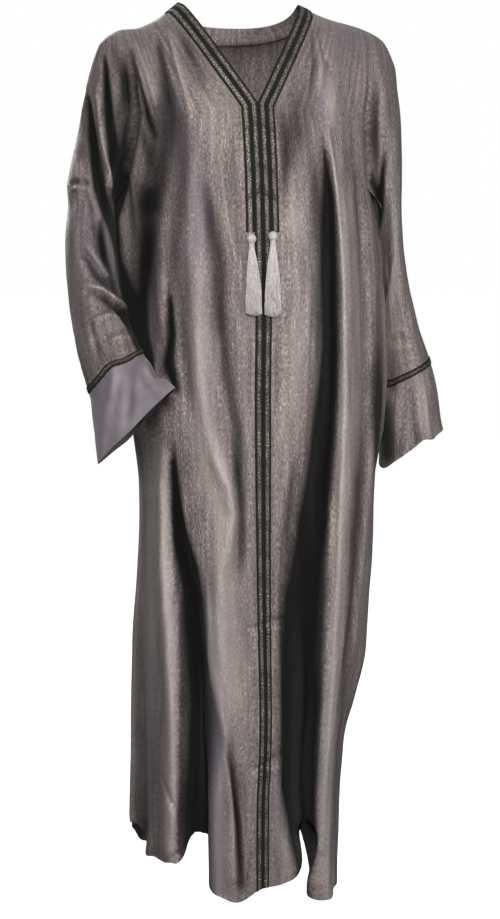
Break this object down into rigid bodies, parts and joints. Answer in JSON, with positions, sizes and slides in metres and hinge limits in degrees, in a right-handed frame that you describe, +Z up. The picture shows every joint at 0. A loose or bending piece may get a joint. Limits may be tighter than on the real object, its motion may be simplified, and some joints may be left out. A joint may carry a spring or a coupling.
{
  "type": "abaya with braided neckline",
  "caption": "Long loose abaya in crinkled taupe cloth, dark braid round the V neck and down the front, pale tassels and flared cuffs, in its hollow worn form",
  "frame": {"origin": "between the tops of the shoulders, where the wearer's shoulders carry the cloth, midway from side to side and from front to back", "axes": "+Z up along the body, -Y the way the wearer faces, +X the wearer's left"},
  "size_m": [0.6297, 0.3612, 1.4305],
  "materials": {
    "cloth": "soft metallic sheen, finely crinkled lengthwise",
    "cuff_cloth": "smooth satin",
    "braid": "flat braid with fine glitter thread",
    "silk": "soft silk thread"
  },
  "bodies": {
    "root": {"front_right": "cloth", "front_left": "cloth", "back": "cloth", "sleeve_right": "cloth", "sleeve_left": "cloth", "cuff_right": "cuff_cloth", "cuff_left": "cuff_cloth", "cuff_braid_right": "braid", "cuff_braid_left": "braid", "braid_inner_right": "braid", "braid_inner_left": "braid", "braid_outer_right": "braid", "braid_outer_left": "braid", "braid_back_inner": "braid", "braid_back_outer": "braid", "tassel_right": "silk", "tassel_left": "silk"}
  },
  "joints": []
}
